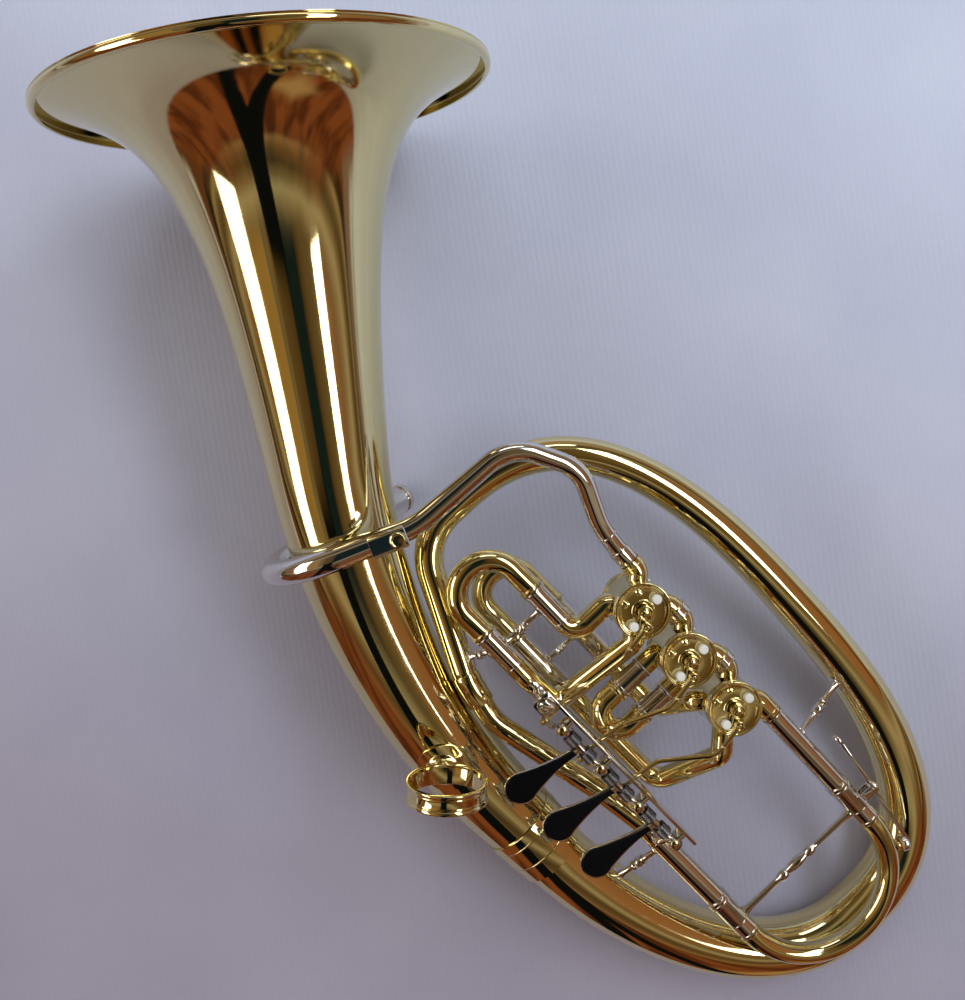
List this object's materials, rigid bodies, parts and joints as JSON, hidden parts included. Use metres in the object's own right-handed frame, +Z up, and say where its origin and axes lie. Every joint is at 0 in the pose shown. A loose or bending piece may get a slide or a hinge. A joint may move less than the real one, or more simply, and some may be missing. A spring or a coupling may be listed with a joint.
{
  "type": "rotary-valve alto horn",
  "caption": "Oval alto horn of brass and nickel silver with rotary valves, finger levers, drawn tuning slides, water key and flared bell, laid on its back.",
  "frame": {"origin": "centre of the bounding box's base, on the plane that the horn lies on", "axes": "+Y towards the bell's rim, +X towards the right end of the oval, +Z up out of the valve faces"},
  "size_m": [0.3808, 0.4916, 0.2035],
  "materials": {
    "brass": "lacquered, polished",
    "nickel": "polished nickel silver",
    "steel": "drawn wire",
    "black_inlay": "glossy",
    "bumper": "matte",
    "cork": "matte"
  },
  "bodies": {
    "horn": {"main_bow": "brass", "bell": "brass", "valve_casing_1": "brass", "bearing_plate_1": "brass", "back_cap_1": "brass", "bumper_1_a": "bumper", "bumper_1_b": "bumper", "valve_casing_2": "brass", "bearing_plate_2": "brass", "back_cap_2": "brass", "bumper_2_a": "bumper", "bumper_2_b": "bumper", "valve_casing_3": "brass", "bearing_plate_3": "brass", "back_cap_3": "brass", "bumper_3_a": "bumper", "bumper_3_b": "bumper", "crossover_1": "nickel", "crossover_2": "nickel", "slide_1_sleeve_upper": "nickel", "slide_1_sleeve_lower": "nickel", "slide_3_sleeve_upper": "nickel", "slide_3_sleeve_lower": "nickel", "slide_2_sleeve_left": "nickel", "slide_2_sleeve_right": "nickel", "tuning_sleeve_upper": "nickel", "tuning_sleeve_lower": "nickel", "lower_branch": "brass", "leadpipe": "nickel", "mouthpiece_receiver": "nickel", "lyre_holder": "nickel", "lever_bracket": "nickel", "hinge_rod": "steel", "thumb_ring": "brass"},
    "lever_1": {"lever_1": "nickel", "paddle_inlay_1": "black_inlay", "lever_spring_1": "steel"},
    "rotor_1": {"valve_rotor_1": "brass", "stop_arm_1": "brass"},
    "link_1": {"link_1": "brass"},
    "lever_2": {"lever_2": "nickel", "paddle_inlay_2": "black_inlay", "lever_spring_2": "steel"},
    "rotor_2": {"valve_rotor_2": "brass", "stop_arm_2": "brass"},
    "link_2": {"link_2": "brass"},
    "lever_3": {"lever_3": "nickel", "paddle_inlay_3": "black_inlay", "lever_spring_3": "steel"},
    "rotor_3": {"valve_rotor_3": "brass", "stop_arm_3": "brass"},
    "link_3": {"link_3": "brass"},
    "main_tuning_slide": {"tuning_slide_legs": "nickel", "tuning_slide_crook": "brass"},
    "slide_1": {"slide_1_crook": "brass"},
    "slide_2": {"slide_2_crook": "brass"},
    "slide_3": {"slide_3_crook": "brass"},
    "water_key": {"water_key": "nickel", "water_key_cork": "cork"},
    "lyre_screw": {"lyre_screw": "brass"}
  },
  "joints": [
    {"name": "lever_1_press", "type": "hinge", "parent": "horn", "child": "lever_1", "pos_m": [0.00699, -0.08381, 0.09949], "axis": [0.557, -0.812, -0.1743], "range_deg": [0, 30], "stiffness_Nm_per_rad": 0.12, "springref_deg": -34.38},
    {"name": "rotor_1_turn", "type": "hinge", "parent": "horn", "child": "rotor_1", "pos_m": [0.04436, -0.02596, 0.07558], "axis": [0.1278, -0.1236, 0.9841], "range_deg": [0, 90]},
    {"name": "link_1_pivot", "type": "hinge", "parent": "rotor_1", "child": "link_1", "pos_m": [0.04609, -0.0346, 0.09155], "axis": [0.1278, -0.1236, 0.9841], "range_deg": [-90, 0]},
    {"name": "lever_2_press", "type": "hinge", "parent": "horn", "child": "lever_2", "pos_m": [0.02169, -0.10525, 0.09488], "axis": [0.557, -0.812, -0.1743], "range_deg": [0, 30], "stiffness_Nm_per_rad": 0.12, "springref_deg": -34.38},
    {"name": "rotor_2_turn", "type": "hinge", "parent": "horn", "child": "rotor_2", "pos_m": [0.0633, -0.05357, 0.06965], "axis": [0.1278, -0.1236, 0.9841], "range_deg": [0, 90]},
    {"name": "link_2_pivot", "type": "hinge", "parent": "rotor_2", "child": "link_2", "pos_m": [0.06503, -0.06221, 0.08562], "axis": [0.1278, -0.1236, 0.9841], "range_deg": [-90, 0]},
    {"name": "lever_3_press", "type": "hinge", "parent": "horn", "child": "lever_3", "pos_m": [0.0364, -0.12669, 0.09028], "axis": [0.557, -0.812, -0.1743], "range_deg": [0, 30], "stiffness_Nm_per_rad": 0.12, "springref_deg": -34.38},
    {"name": "rotor_3_turn", "type": "hinge", "parent": "horn", "child": "rotor_3", "pos_m": [0.08223, -0.08117, 0.06373], "axis": [0.1278, -0.1236, 0.9841], "range_deg": [0, 90]},
    {"name": "link_3_pivot", "type": "hinge", "parent": "rotor_3", "child": "link_3", "pos_m": [0.08397, -0.08982, 0.07969], "axis": [0.1278, -0.1236, 0.9841], "range_deg": [-90, 0]},
    {"name": "main_tuning_slide_draw", "type": "slide", "parent": "horn", "child": "main_tuning_slide", "axis": [0.557, -0.812, -0.1743], "range_m": [0, 0.03]},
    {"name": "slide_1_draw", "type": "slide", "parent": "horn", "child": "slide_1", "axis": [-0.557, 0.812, 0.1743], "range_m": [0, 0.015]},
    {"name": "slide_2_draw", "type": "slide", "parent": "horn", "child": "slide_2", "axis": [-0.8206, -0.5704, 0.0349], "range_m": [0, 0.012]},
    {"name": "slide_3_draw", "type": "slide", "parent": "horn", "child": "slide_3", "axis": [-0.557, 0.812, 0.1743], "range_m": [0, 0.015]},
    {"name": "water_key_press", "type": "hinge", "parent": "main_tuning_slide", "child": "water_key", "pos_m": [0.1521, -0.13966, 0.04884], "axis": [0.1278, -0.1236, 0.9841], "range_deg": [0, 12], "stiffness_Nm_per_rad": 0.03, "springref_deg": -28.65},
    {"name": "lyre_screw_turn", "type": "hinge", "parent": "horn", "child": "lyre_screw", "pos_m": [-0.05838, 0.0247, 0.12288], "axis": [0.1278, -0.1236, 0.9841], "range_deg": [-180, 180]}
  ],
  "couplings": [
    {"joint": "rotor_1_turn", "follows": "lever_1_press", "ratio": 3},
    {"joint": "link_1_pivot", "follows": "lever_1_press", "ratio": -3},
    {"joint": "rotor_2_turn", "follows": "lever_2_press", "ratio": 3},
    {"joint": "link_2_pivot", "follows": "lever_2_press", "ratio": -3},
    {"joint": "rotor_3_turn", "follows": "lever_3_press", "ratio": 3},
    {"joint": "link_3_pivot", "follows": "lever_3_press", "ratio": -3}
  ]
}
